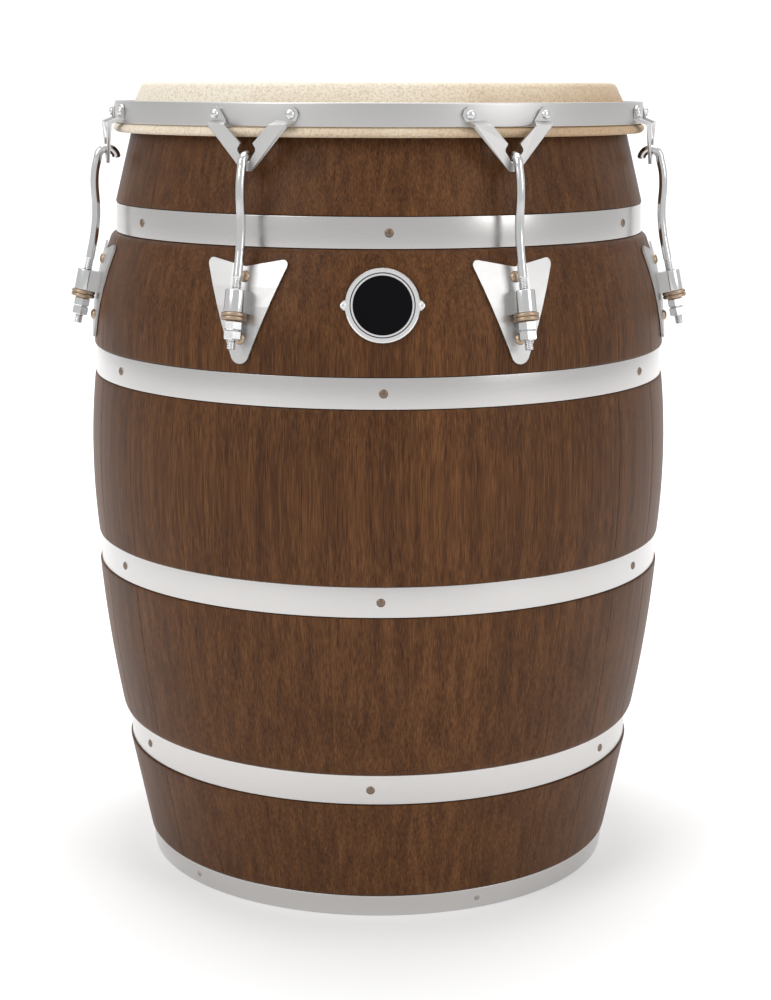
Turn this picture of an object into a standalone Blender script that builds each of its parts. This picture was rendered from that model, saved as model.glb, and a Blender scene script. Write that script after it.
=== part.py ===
"""Bomba drum: a staved oak barrel with steel bands, a hide head, and seven hook rods that pull its crown down.

Metres, +Z up, z = 0 is the floor and -Y is the front. Sizes below are in millimetres and degrees.
A bearing round the barrel is measured from the front, towards +X.
"""

import math

import bmesh
import bpy
from mathutils import Matrix, Vector

MM = 0.001
GAP = 0.3

# The barrel stands a little forward of the origin, which is the middle of the whole footprint:
# the lug at the back reaches further out than the belly does at the front.
AXIS_Y = -7.3
FACETS = 48

# Barrel: 24 staves, glued up in pairs
STAVE_PAIRS = 12
SEAM_BEARING = -8.5
BELLY_Z = 366.0
INNER_BELLY_R = 239.6
INNER_BULGE_UP = 4.8e-4
INNER_BULGE_DOWN = 3.9e-4
INNER_STEPS = 8
EDGE_TOP_Z = 684.1
EDGE_PEAK_R = 197.0
EDGE_ROUND = 9.0
EDGE_BEVEL_R = 193.4
EDGE_BEVEL_Z = 676.0

# Steel bands, top to bottom: (name, top z, top radius, foot z, foot radius), radii on the outside
BANDS = (
    ("shoulder_band", 584.8, 229.8, 560.0, 230.5),
    ("upper_belly_band", 462.5, 250.0, 437.5, 250.5),
    ("lower_belly_band", 295.5, 250.0, 270.3, 250.1),
    ("foot_band", 131.1, 227.9, 105.6, 226.7),
    ("base_ring", 18.8, 210.3, 0.0, 207.4),
)
BAND_THICKNESS = 1.5
GROOVE_PLAY = 0.5

# The wood between the bands, top to bottom. Its radius is radius + slope * dz - bulge * dz^2 with dz = z - z0.
# A round is (how far the edge drops, over what height); steps are the points between the edges.
STRETCHES = (
    dict(z0=585.9, radius=230.3, slope=-0.2474, bulge=0.0, top_round=None, foot_round=(0.8, 1.2), steps=1),
    dict(z0=460.8, radius=251.6, slope=0.0, bulge=1.8e-3, top_round=(4.0, 4.5), foot_round=(0.8, 1.2), steps=4),
    dict(z0=366.0, radius=255.65, slope=0.0, bulge=7.8e-4, top_round=(0.8, 1.2), foot_round=(0.8, 1.2), steps=4),
    dict(z0=366.0, radius=255.65, slope=0.0, bulge=4.2e-4, top_round=(0.8, 1.2), foot_round=(3.6, 8.0), steps=4),
    dict(z0=103.4, radius=228.1, slope=0.2035, bulge=0.0, top_round=(0.8, 1.2), foot_round=(0.8, 1.2), steps=1),
)

# Hide, pulled straight from the bearing edge to the flesh hoop
HIDE_TOP_Z = 686.4
HIDE_THICKNESS = 1.8
HIDE_CORNER_R = 4.5
SKIRT_TOP_R = 206.6
SKIRT_SLOPE = 0.48
SKIRT_FOOT_Z = 657.5

# Flesh hoop with the hide rolled round it, and the crown hoop on top of it
ROLL_TOP_Z = 652.4
ROLL_FOOT_Z = 644.5
ROLL_OUTER_R = 230.8
ROLL_INNER_R = 221.0
ROLL_SIDES = 8
CROWN_TOP_Z = 671.1
CROWN_OUTER_R = 229.4
CROWN_THICKNESS = 3.0

# Seven lugs, evenly spaced, with the front between two of them
LUGS = 7
LUG_TURN = 0.5

# V-shaped clamp, a stamped strip: ears on the crown hoop, then a ledge outwards, then the flat V
CLAMP_THICKNESS = 2.4
EAR_U = 33.4
EAR_Z = 662.0
EAR_R = 6.4
EAR_ARC = (-40.0, 144.0)
LEDGE_TOP_Z = 656.3
LEDGE_FOOT_Z = 653.2
V_PLANE_R = 237.6
V_OUTLINE_OUTER = ((4.0, 618.8), (34.3, 653.2), (37.2, 656.3))
V_OUTLINE_INNER = (
    (22.0, 656.3),
    (19.4, 653.2),
    (5.5, 640.0),
    (7.8, 636.2),
    (7.8, 634.0),
    (4.6, 629.5),
    (2.5, 625.3),
)

# Hook rod: a half circle over the clamp, an S bend, then a straight threaded end that leans outwards
ROD_R = 3.6
HOOK_CENTRE_R = 238.0
HOOK_CENTRE_Z = 623.2
HOOK_R = 8.0
HOOK_STEPS = 6
BEND_POINTS = ((248.5, 612.5), (249.3, 600.0), (248.5, 584.0), (248.8, 572.0), (250.4, 560.0))
LEAN_TOP = (252.4, 549.5)
LEAN_FOOT = (267.0, 483.0)
ROD_RESOLUTION = 2

# Down each rod from the top of the receiver: receiver, two washers, tuning nut and lock nut
RECEIVER_TOP_Z = 528.5
RECEIVER_LENGTH = 17.5
RECEIVER_R = 8.2
RECEIVER_REACH = 11.3
RECEIVER_SIDES = 16
BORE_R = 4.3
BORE_SIDES = 12
WASHER_R = 10.0
WASHER_THICKNESS = 3.0
NUT_ACROSS_FLATS = 12.7
NUT_LENGTH = 15.0
NUT_CHAMFER = 1.0
NUT_WAIST_R = 5.6
NUT_BORE_R = 4.1

# Side plate: an inverted triangle with round corners, bent to lie on the shell
PLATE_THICKNESS = 2.0
PLATE_LIFT = 0.7
PLATE_HALF_WIDTH = 35.0
PLATE_TOP_Z = 551.3
PLATE_TIP_Z = 470.3
PLATE_DIP = 6.0
PLATE_CORNER_R = 4.0
PLATE_TIP_R = 8.0
PLATE_CUTS_Z = (485.0, 500.0, 515.0, 530.0, 541.0)
PLATE_CUTS_U = (-12.0, 0.0, 12.0)

# Badge: a round plate with a raised rim and two ears
BADGE_BEARING = 0.9
BADGE_Z = 518.0
BADGE_R = 29.0
BADGE_RIM = 5.5
BADGE_THICKNESS = 2.6
BADGE_FIELD_DROP = 0.7
BADGE_SIDES = 40
BADGE_EAR_U = 28.2
BADGE_EAR_R = 4.2
BADGE_EAR_THICKNESS = 1.6

LEAN = math.atan2(LEAN_FOOT[0] - LEAN_TOP[0], LEAN_TOP[1] - LEAN_FOOT[1])


def clear_scene():
    for obj in list(bpy.data.objects):
        bpy.data.objects.remove(obj, do_unlink=True)


def make_material(name, colour, roughness, metallic):
    material = bpy.data.materials.new(name)
    material.use_nodes = True
    shader = material.node_tree.nodes["Principled BSDF"]
    shader.inputs["Base Color"].default_value = (*colour, 1.0)
    shader.inputs["Roughness"].default_value = roughness
    shader.inputs["Metallic"].default_value = metallic
    return material


def mesh_of(bm, name):
    bmesh.ops.recalc_face_normals(bm, faces=bm.faces)
    mesh = bpy.data.meshes.new(name)
    bm.to_mesh(mesh)
    bm.free()
    return mesh


def temporary(mesh):
    """An object that holds a mesh while its modifiers are worked out."""
    obj = bpy.data.objects.new("temporary", mesh)
    bpy.context.scene.collection.objects.link(obj)
    return obj


def finished(obj, name, weld=False):
    """The evaluated mesh of a temporary object, which is then removed."""
    depsgraph = bpy.context.evaluated_depsgraph_get()
    mesh = bpy.data.meshes.new_from_object(obj.evaluated_get(depsgraph))
    mesh.name = name
    bpy.data.objects.remove(obj, do_unlink=True)
    if weld:
        bm = bmesh.new()
        bm.from_mesh(mesh)
        bmesh.ops.remove_doubles(bm, verts=bm.verts, dist=1e-6)
        bmesh.ops.recalc_face_normals(bm, faces=bm.faces)
        bm.to_mesh(mesh)
        bm.free()
    return mesh


def smooth(mesh, angle=35.0):
    mesh.shade_smooth()
    mesh.set_sharp_from_angle(angle=math.radians(angle))


def turned(name, profile, closed, sides=FACETS):
    """A profile of (radius, z), run down its outer side, turned about Z. A closed one makes a ring."""
    bm = bmesh.new()
    verts = [bm.verts.new((r * MM, 0.0, z * MM)) for r, z in profile]
    pairs = list(zip(verts, verts[1:]))
    if closed:
        pairs.append((verts[-1], verts[0]))
    for a, b in pairs:
        bm.edges.new((a, b))
    mesh = bpy.data.meshes.new(name)
    bm.to_mesh(mesh)
    bm.free()
    obj = temporary(mesh)
    screw = obj.modifiers.new("Turn", "SCREW")
    screw.axis = "Z"
    screw.angle = math.tau
    screw.steps = sides
    screw.render_steps = sides
    screw.use_merge_vertices = True
    screw.merge_threshold = 1e-5
    return finished(obj, name)


def cylinder(radius, height, sides, centre=(0.0, 0.0, 0.0), turn=0.0):
    """A cylinder mesh on Z, about its centre, in millimetres."""
    bm = bmesh.new()
    place = Matrix.Translation(Vector(centre) * MM) @ Matrix.Rotation(turn, 4, "Z")
    bmesh.ops.create_cone(
        bm,
        cap_ends=True,
        segments=sides,
        radius1=radius * MM,
        radius2=radius * MM,
        depth=height * MM,
        matrix=place,
    )
    return mesh_of(bm, "cylinder")


def box(low, high):
    """A box mesh between two corners, in millimetres."""
    bm = bmesh.new()
    low, high = Vector(low), Vector(high)
    size = Matrix.Diagonal((*((high - low) * MM), 1.0))
    bmesh.ops.create_cube(bm, size=1.0, matrix=Matrix.Translation((low + high) / 2 * MM) @ size)
    return mesh_of(bm, "box")


def combined(base, name, *steps):
    """A mesh joined with or cut by others: each step is (UNION or DIFFERENCE, mesh)."""
    obj = temporary(base)
    tools = []
    for operation, mesh in steps:
        tool = temporary(mesh)
        tools.append(tool)
        cut = obj.modifiers.new(operation.title(), "BOOLEAN")
        cut.operation = operation
        cut.solver = "EXACT"
        cut.object = tool
    mesh = finished(obj, name)
    for tool in tools:
        bpy.data.objects.remove(tool, do_unlink=True)
    return mesh


def flat_outline(points):
    """A filled outline of (u, z) as a bmesh of one flat face in the XZ plane, from a 2D curve."""
    curve = bpy.data.curves.new("outline", "CURVE")
    curve.dimensions = "2D"
    curve.fill_mode = "BOTH"
    spline = curve.splines.new("POLY")
    spline.points.add(len(points) - 1)
    for point, (u, z) in zip(spline.points, points):
        point.co = (u * MM, z * MM, 0.0, 1.0)
    spline.use_cyclic_u = True
    mesh = finished(temporary(curve), "outline")
    bpy.data.curves.remove(curve)
    bm = bmesh.new()
    bm.from_mesh(mesh)
    bmesh.ops.remove_doubles(bm, verts=bm.verts, dist=1e-6)
    bmesh.ops.dissolve_limit(bm, angle_limit=0.01, verts=bm.verts, edges=bm.edges, delimit=set())
    bmesh.ops.transform(bm, matrix=Matrix.Rotation(math.pi / 2, 4, "X"), verts=bm.verts)
    bpy.data.meshes.remove(mesh)
    return bm


def slice_outline(bm, heights, widths):
    """Cuts the outline's face along lines of one height or one u, where it will bend."""
    cuts = [((0.0, 0.0, z * MM), (0.0, 0.0, 1.0)) for z in heights]
    cuts += [((u * MM, 0.0, 0.0), (1.0, 0.0, 0.0)) for u in widths]
    for point, normal in cuts:
        parts = list(bm.verts) + list(bm.edges) + list(bm.faces)
        bmesh.ops.bisect_plane(bm, geom=parts, dist=1e-7, plane_co=point, plane_no=normal)


def thickened(bm, name, thickness):
    """A bent sheet given its thickness, half to each side."""
    obj = temporary(mesh_of(bm, name))
    solid = obj.modifiers.new("Sheet", "SOLIDIFY")
    solid.thickness = thickness * MM
    solid.offset = 0.0
    solid.use_even_offset = True
    return finished(obj, name)


def arc(centre, radius, start, end, steps):
    """Points along an arc, in degrees from +u, anticlockwise."""
    angles = [math.radians(start + (end - start) * k / steps) for k in range(steps + 1)]
    return [(centre[0] + radius * math.cos(a), centre[1] + radius * math.sin(a)) for a in angles]


def wood_radius(stretch, z):
    dz = z - stretch["z0"]
    return stretch["radius"] + stretch["slope"] * dz - stretch["bulge"] * dz * dz


def edge_round(stretch, edge_z, inwards, size):
    """Three points over a rounded edge, from the edge into the stretch; inwards is -1 below it and 1 above it."""
    drop, height = size
    points = []
    for angle in (0.0, math.pi / 4, math.pi / 2):
        z = edge_z + inwards * height * (1.0 - math.cos(angle))
        points.append((wood_radius(stretch, z) - drop * (1.0 - math.sin(angle)), z))
    return points


def stretch_points(stretch, top_z, foot_z):
    """The outside of one stretch of wood, from its top edge down to its foot edge."""
    top, foot = [], []
    if stretch["top_round"]:
        top = edge_round(stretch, top_z, -1, stretch["top_round"])
    if stretch["foot_round"]:
        foot = edge_round(stretch, foot_z, 1, stretch["foot_round"])[::-1]
    start = top[-1][1] if top else top_z
    end = foot[0][1] if foot else foot_z
    steps = stretch["steps"]
    middle = [start + (end - start) * k / steps for k in range(1, steps)]
    return top + [(wood_radius(stretch, z), z) for z in middle] + foot


def inner_radius(z):
    bulge = INNER_BULGE_UP if z > BELLY_Z else INNER_BULGE_DOWN
    return INNER_BELLY_R - bulge * (z - BELLY_Z) ** 2


def stave_profile():
    """The section of the barrel's wall: bearing edge, outside with its grooves, foot, then up the inside."""
    first = STRETCHES[0]
    round_z = EDGE_TOP_Z - EDGE_ROUND
    round_r = wood_radius(first, round_z)
    middle = math.radians(45.0)
    points = [
        (EDGE_PEAK_R, EDGE_TOP_Z),
        (
            EDGE_PEAK_R + (round_r - EDGE_PEAK_R) * math.sin(middle),
            round_z + EDGE_ROUND * math.cos(middle),
        ),
        (round_r, round_z),
    ]
    top_z = round_z - 1.0
    for stretch, (_, band_top, top_r, band_foot, foot_r) in zip(STRETCHES, BANDS):
        groove_top = band_top + GROOVE_PLAY
        groove_foot = max(band_foot - GROOVE_PLAY, 0.0)
        points += stretch_points(stretch, top_z, groove_top)
        seat = BAND_THICKNESS + GAP
        points += [(top_r - seat, groove_top), (foot_r - seat, groove_foot)]
        top_z = groove_foot
    rise = EDGE_BEVEL_Z / INNER_STEPS
    points += [(inner_radius(k * rise), k * rise) for k in range(INNER_STEPS)]
    points.append((EDGE_BEVEL_R, EDGE_BEVEL_Z))
    return points


def stave_pair_mesh():
    """Two glued staves: the wall's section spun through its share of the circle, less the seam."""
    share = math.tau / STAVE_PAIRS
    seam = GAP / EDGE_BEVEL_R
    bm = bmesh.new()
    verts = [bm.verts.new((0.0, -r * MM, z * MM)) for r, z in stave_profile()]
    face = bm.faces.new(verts)
    bmesh.ops.rotate(bm, cent=(0, 0, 0), matrix=Matrix.Rotation(seam / 2, 3, "Z"), verts=bm.verts)
    bmesh.ops.spin(
        bm,
        geom=list(bm.verts) + list(bm.edges) + [face],
        cent=(0, 0, 0),
        axis=(0, 0, 1),
        angle=share - seam,
        steps=FACETS // STAVE_PAIRS,
    )
    mesh = mesh_of(bm, "stave_pair")
    smooth(mesh)
    return mesh


def band_mesh(name, top_z, top_r, foot_z, foot_r):
    profile = (
        (top_r, top_z),
        (foot_r, foot_z),
        (foot_r - BAND_THICKNESS, foot_z),
        (top_r - BAND_THICKNESS, top_z),
    )
    mesh = turned(name, profile, closed=True)
    smooth(mesh)
    return mesh


def hide_mesh():
    """The playing face, a round corner over the bearing edge, and the skirt down to just above the flesh hoop."""
    corner_r = SKIRT_TOP_R - HIDE_CORNER_R
    corner_z = HIDE_TOP_Z - HIDE_CORNER_R
    lean = math.degrees(math.atan(SKIRT_SLOPE))
    outer = [(0.0, HIDE_TOP_Z)] + arc((corner_r, corner_z), HIDE_CORNER_R, 90.0, lean, 3)
    edge_r, edge_z = outer[-1]
    outer.append((edge_r + SKIRT_SLOPE * (edge_z - SKIRT_FOOT_Z), SKIRT_FOOT_Z))
    inner_corner = HIDE_CORNER_R - HIDE_THICKNESS
    inner = [(0.0, HIDE_TOP_Z - HIDE_THICKNESS)] + arc((corner_r, corner_z), inner_corner, 90.0, lean, 2)
    edge_r, edge_z = inner[-1]
    inner.append((edge_r + SKIRT_SLOPE * (edge_z - SKIRT_FOOT_Z), SKIRT_FOOT_Z))
    mesh = turned("head_hide", outer + inner[::-1], closed=False)
    smooth(mesh)
    return mesh


def roll_mesh():
    """The rolled rim of the hide with the flesh hoop in it, a flattened round section."""
    middle_r, half_r = (ROLL_OUTER_R + ROLL_INNER_R) / 2, (ROLL_OUTER_R - ROLL_INNER_R) / 2
    middle_z, half_z = (ROLL_TOP_Z + ROLL_FOOT_Z) / 2, (ROLL_TOP_Z - ROLL_FOOT_Z) / 2
    turns = [math.tau * (k + 0.5) / ROLL_SIDES for k in range(ROLL_SIDES)]
    grow = 1.0 / math.cos(math.pi / ROLL_SIDES)
    profile = [
        (middle_r + half_r * grow * math.sin(a), middle_z + half_z * grow * math.cos(a)) for a in turns
    ]
    mesh = turned("flesh_hoop", profile, closed=True)
    smooth(mesh, 60.0)
    return mesh


def crown_mesh():
    foot_z = ROLL_TOP_Z + GAP
    inner_r = CROWN_OUTER_R - CROWN_THICKNESS
    profile = ((CROWN_OUTER_R, CROWN_TOP_Z), (CROWN_OUTER_R, foot_z), (inner_r, foot_z), (inner_r, CROWN_TOP_Z))
    mesh = turned("crown_hoop", profile, closed=True)
    smooth(mesh)
    return mesh


def clamp_mesh():
    """The V clamp: an outline bent so that its ears lie on the crown hoop and its V hangs clear of the hide roll."""
    half = list(V_OUTLINE_OUTER) + arc((EAR_U, EAR_Z), EAR_R, *EAR_ARC, 5) + list(V_OUTLINE_INNER)
    outline = half + [(-u, z) for u, z in reversed(half)]
    bm = flat_outline(outline)
    slice_outline(bm, (LEDGE_FOOT_Z, LEDGE_TOP_Z), ())
    ear_r = CROWN_OUTER_R + GAP + CLAMP_THICKNESS / 2
    for vert in bm.verts:
        u, z = vert.co.x / MM, vert.co.z / MM
        on_hoop = math.sqrt(ear_r**2 - u**2)
        share = min(max((z - LEDGE_FOOT_Z) / (LEDGE_TOP_Z - LEDGE_FOOT_Z), 0.0), 1.0)
        vert.co.y = -(V_PLANE_R + (on_hoop - V_PLANE_R) * share) * MM
    return thickened(bm, "v_clamp", CLAMP_THICKNESS)


def rod_points():
    hook = arc((HOOK_CENTRE_R, HOOK_CENTRE_Z), HOOK_R, 180.0, 0.0, HOOK_STEPS)
    return hook + list(BEND_POINTS) + [LEAN_TOP, LEAN_FOOT]


def rod_mesh():
    """The hook rod: a round bar along its centreline, which lies in the lug's own upright plane."""
    curve = bpy.data.curves.new("hook_rod", "CURVE")
    curve.dimensions = "3D"
    curve.bevel_depth = ROD_R * MM
    curve.bevel_resolution = ROD_RESOLUTION
    curve.use_fill_caps = True
    spline = curve.splines.new("POLY")
    points = rod_points()
    spline.points.add(len(points) - 1)
    for point, (r, z) in zip(spline.points, points):
        point.co = (0.0, -r * MM, z * MM, 1.0)
    mesh = finished(temporary(curve), "hook_rod", weld=True)
    bpy.data.curves.remove(curve)
    smooth(mesh, 50.0)
    return mesh


def on_rod(mesh, distance):
    """Moves a mesh modelled on Z so that its Z lies along the rod, the given distance below the receiver's top."""
    top = math.tan(LEAN) * (LEAN_TOP[1] - RECEIVER_TOP_Z) + LEAN_TOP[0]
    down = Vector((0.0, -math.sin(LEAN), -math.cos(LEAN)))
    start = Vector((0.0, -top, RECEIVER_TOP_Z)) + down * distance
    mesh.transform(Matrix.Translation(start * MM) @ Matrix.Rotation(-LEAN, 4, "X"))
    return mesh


def plate_outline():
    """The side plate's outline: two round top corners with a shallow V between them, and a round tip below."""
    corner = (PLATE_HALF_WIDTH - PLATE_CORNER_R, PLATE_TOP_Z - PLATE_CORNER_R)
    tip = (0.0, PLATE_TIP_Z + PLATE_TIP_R)
    run = math.hypot(corner[0], corner[1] - tip[1])
    side = math.degrees(math.atan2(corner[1] - tip[1], corner[0]))
    side -= math.degrees(math.asin((PLATE_TIP_R - PLATE_CORNER_R) / run))
    top = 90.0 + math.degrees(math.atan2(PLATE_DIP, corner[0]))
    half = arc(tip, PLATE_TIP_R, -90.0, side - 90.0, 3)[1:]
    half += arc(corner, PLATE_CORNER_R, side - 90.0, top, 5)
    outline = [(0.0, PLATE_TIP_Z)] + half + [(0.0, PLATE_TOP_Z - PLATE_DIP)]
    return outline + [(-u, z) for u, z in reversed(half)]


def plate_mesh():
    """The side plate, bent to the shell's own curve, with the bored receiver that stands on it."""
    shell = STRETCHES[1]
    bm = flat_outline(plate_outline())
    slice_outline(bm, PLATE_CUTS_Z, PLATE_CUTS_U)
    for vert in bm.verts:
        u, z = vert.co.x / MM, vert.co.z / MM
        r = wood_radius(shell, z) + PLATE_LIFT + PLATE_THICKNESS / 2
        vert.co = Vector((r * math.sin(u / r), -r * math.cos(u / r), z)) * MM
    sheet = thickened(bm, "sheet", PLATE_THICKNESS)
    middle = RECEIVER_LENGTH / 2
    nose = on_rod(cylinder(RECEIVER_R, RECEIVER_LENGTH, RECEIVER_SIDES), middle)
    web_low = (-RECEIVER_R, 0.0, -middle)
    web_high = (RECEIVER_R, RECEIVER_REACH, middle)
    web = on_rod(box(web_low, web_high), middle)
    bore = on_rod(cylinder(BORE_R, RECEIVER_LENGTH * 2, BORE_SIDES), middle)
    mesh = combined(sheet, "side_plate", ("UNION", web), ("UNION", nose), ("DIFFERENCE", bore))
    smooth(mesh)
    return mesh


def washer_mesh():
    """Two washers, one over the other, turned as one piece with the groove between their round edges."""
    t, r = WASHER_THICKNESS, WASHER_R
    profile = (
        (r - 1.0, t),
        (r, t / 2),
        (r - 1.0, 0.0),
        (r, -t / 2),
        (r - 1.0, -t),
        (BORE_R, -t),
        (BORE_R, t),
    )
    mesh = turned("washer_pair", profile, closed=True, sides=RECEIVER_SIDES)
    smooth(mesh)
    return on_rod(mesh, RECEIVER_LENGTH + GAP + WASHER_THICKNESS)


def nut_mesh():
    """A tuning nut and its lock nut: a chamfered six-sided bar with a waist between the two, and a round bore."""
    corner = NUT_ACROSS_FLATS / 2 / math.cos(math.pi / 6)
    half = NUT_LENGTH / 2
    chamfer = NUT_CHAMFER
    profile = (
        (corner - chamfer, half),
        (corner, half - chamfer),
        (corner, chamfer),
        (NUT_WAIST_R, 0.0),
        (corner, -chamfer),
        (corner, chamfer - half),
        (corner - chamfer, -half),
    )
    bar = turned("bar", ((0.0, half), *profile, (0.0, -half)), closed=False, sides=6)
    bore = cylinder(NUT_BORE_R, NUT_LENGTH * 2, BORE_SIDES)
    mesh = combined(bar, "tuning_nut", ("DIFFERENCE", bore))
    washers = 2 * WASHER_THICKNESS + 2 * GAP
    return on_rod(mesh, RECEIVER_LENGTH + washers + half)


def badge_mesh():
    """A round plate with a raised rim round a sunk field, and two screw ears, modelled on Z."""
    profile = (
        (0.0, BADGE_THICKNESS - BADGE_FIELD_DROP),
        (BADGE_R - BADGE_RIM, BADGE_THICKNESS - BADGE_FIELD_DROP),
        (BADGE_R - BADGE_RIM, BADGE_THICKNESS),
        (BADGE_R - 1.0, BADGE_THICKNESS),
        (BADGE_R, BADGE_THICKNESS - 1.0),
        (BADGE_R, 0.0),
        (0.0, 0.0),
    )
    disc = turned("disc", profile, closed=False, sides=BADGE_SIDES)
    ears = [
        cylinder(BADGE_EAR_R, BADGE_EAR_THICKNESS, 12, (side * BADGE_EAR_U, 0.0, BADGE_EAR_THICKNESS / 2))
        for side in (-1, 1)
    ]
    mesh = combined(disc, "badge_plate", *[("UNION", ear) for ear in ears])
    smooth(mesh)
    shell = STRETCHES[1]
    slope = -2.0 * shell["bulge"] * (BADGE_Z - shell["z0"])
    up = Vector((0.0, -wood_radius(shell, BADGE_Z) - GAP, BADGE_Z)) * MM
    mesh.transform(Matrix.Translation(up) @ Matrix.Rotation(math.pi / 2 + math.atan(slope), 4, "X"))
    return mesh


def build():
    clear_scene()
    parts = bpy.data.collections.new("bomba_drum")
    bpy.context.scene.collection.children.link(parts)
    axis = bpy.data.objects.new("barrel_axis", None)
    axis.location = (0.0, AXIS_Y * MM, 0.0)
    parts.objects.link(axis)

    wood = make_material("walnut_stained_oak", (0.115, 0.05, 0.026), 0.5, 0.0)
    steel = make_material("band_steel", (0.62, 0.6, 0.58), 0.32, 1.0)
    chrome = make_material("chromed_steel", (0.72, 0.72, 0.72), 0.14, 1.0)
    bronze = make_material("bronze_washer", (0.55, 0.4, 0.28), 0.4, 1.0)
    hide = make_material("hide", (0.72, 0.6, 0.42), 0.65, 0.0)
    badge = make_material("badge_metal", (0.6, 0.6, 0.6), 0.3, 1.0)

    def place(name, mesh, material, bearing=0.0):
        if not mesh.materials:
            mesh.materials.append(material)
        obj = bpy.data.objects.new(name, mesh)
        obj.parent = axis
        obj.rotation_euler = (0.0, 0.0, math.radians(bearing))
        parts.objects.link(obj)
        return obj

    stave = stave_pair_mesh()
    for k in range(STAVE_PAIRS):
        place(f"stave_pair_{k + 1:02d}", stave, wood, SEAM_BEARING + k * 360.0 / STAVE_PAIRS)
    for name, *sizes in BANDS:
        place(name, band_mesh(name, *sizes), steel, SEAM_BEARING - 90.0)

    place("head_hide", hide_mesh(), hide, SEAM_BEARING - 90.0)
    place("flesh_hoop", roll_mesh(), hide, SEAM_BEARING - 90.0)
    place("crown_hoop", crown_mesh(), chrome, SEAM_BEARING - 90.0)
    place("badge_plate", badge_mesh(), badge, BADGE_BEARING)

    lug_pieces = (
        ("v_clamp", clamp_mesh(), chrome),
        ("hook_rod", rod_mesh(), chrome),
        ("side_plate", plate_mesh(), chrome),
        ("washer_pair", washer_mesh(), bronze),
        ("tuning_nut", nut_mesh(), chrome),
    )
    for k in range(LUGS):
        bearing = LUG_TURN + (k + 0.5) * 360.0 / LUGS
        for name, mesh, material in lug_pieces:
            place(f"{name}_{k + 1}", mesh, material, bearing)


build()
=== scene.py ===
import math

import bmesh
import bpy
import numpy as np
from mathutils import Matrix, Vector


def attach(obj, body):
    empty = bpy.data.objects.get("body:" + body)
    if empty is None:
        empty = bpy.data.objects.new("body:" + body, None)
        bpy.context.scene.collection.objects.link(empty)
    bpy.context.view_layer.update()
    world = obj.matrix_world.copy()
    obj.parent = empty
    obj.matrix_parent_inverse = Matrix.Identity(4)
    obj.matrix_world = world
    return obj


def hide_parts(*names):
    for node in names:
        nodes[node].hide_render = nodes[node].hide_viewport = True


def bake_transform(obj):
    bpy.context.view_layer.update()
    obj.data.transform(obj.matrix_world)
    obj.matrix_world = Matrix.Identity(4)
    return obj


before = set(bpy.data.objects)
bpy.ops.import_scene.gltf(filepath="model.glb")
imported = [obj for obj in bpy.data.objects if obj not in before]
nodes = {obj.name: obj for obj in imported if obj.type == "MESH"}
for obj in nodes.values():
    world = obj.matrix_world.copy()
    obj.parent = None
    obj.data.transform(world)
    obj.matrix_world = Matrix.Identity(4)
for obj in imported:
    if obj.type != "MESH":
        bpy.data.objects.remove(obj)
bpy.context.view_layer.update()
print("stage: frame loaded")

# Sizes that several pieces share. Lengths are in millimetres and bearings in degrees from the front, as in
# the CAD. Tilts are in radians, and the materials, backdrop, lights and camera are in metres.
mm = 0.001
axisY = -7.3  # the barrel's own axis is a little in front of the frame's
staveCount = 24
seamBearing = -8.5
lugCount = 7
frontTurn = 0.5
lugBearings = [frontTurn + (k + 0.5) * 360.0 / lugCount for k in range(lugCount)]
leanTop = (252.4, 549.5)  # radius and height where a rod's straight, leaning part starts
leanFoot = (267.0, 483.0)  # and where it ends
lean = math.atan2(leanFoot[0] - leanTop[0], leanTop[1] - leanFoot[1])
receiverTopZ = 528.5
receiverLength = 17.5

# Mesh helpers


# Each (r, z, reach) corner becomes a curve that starts and ends that far from it, and 0 keeps it sharp:
# (1 - t)^2 first + 2 t (1 - t) corner + t^2 last
def roundedProfile(corners, closed, steps=5):
    points = []
    count = len(corners)
    for k, (r, z, reach) in enumerate(corners):
        corner = np.array((r, z))
        if reach == 0.0 or (not closed and k in (0, count - 1)):
            points.append(corner[None])
            continue
        before = np.array(corners[k - 1][:2])
        after = np.array(corners[(k + 1) % count][:2])
        first = corner + (before - corner) / np.linalg.norm(before - corner) * reach
        last = corner + (after - corner) / np.linalg.norm(after - corner) * reach
        t = np.linspace(0.0, 1.0, steps)[:, None]
        points.append((1 - t) ** 2 * first + 2 * t * (1 - t) * corner + t**2 * last)
    return np.concatenate(points)


# A ring's section: (top radius, top height), (foot radius, foot height), the wall inwards from both,
# and the rounds of its outer and its inner corners
def ringProfile(top, foot, wall, rounds, steps=5):
    outerRound, innerRound = rounds
    corners = (
        (*top, outerRound),
        (*foot, outerRound),
        (foot[0] - wall, foot[1], innerRound),
        (top[0] - wall, top[1], innerRound),
    )
    return roundedProfile(corners, True, steps)


# Smooth shading, apart from edges where two faces meet at more than that many degrees
def smoothed(mesh, sharp):
    mesh.shade_smooth()
    mesh.set_sharp_from_angle(angle=math.radians(sharp))
    return mesh


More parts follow.
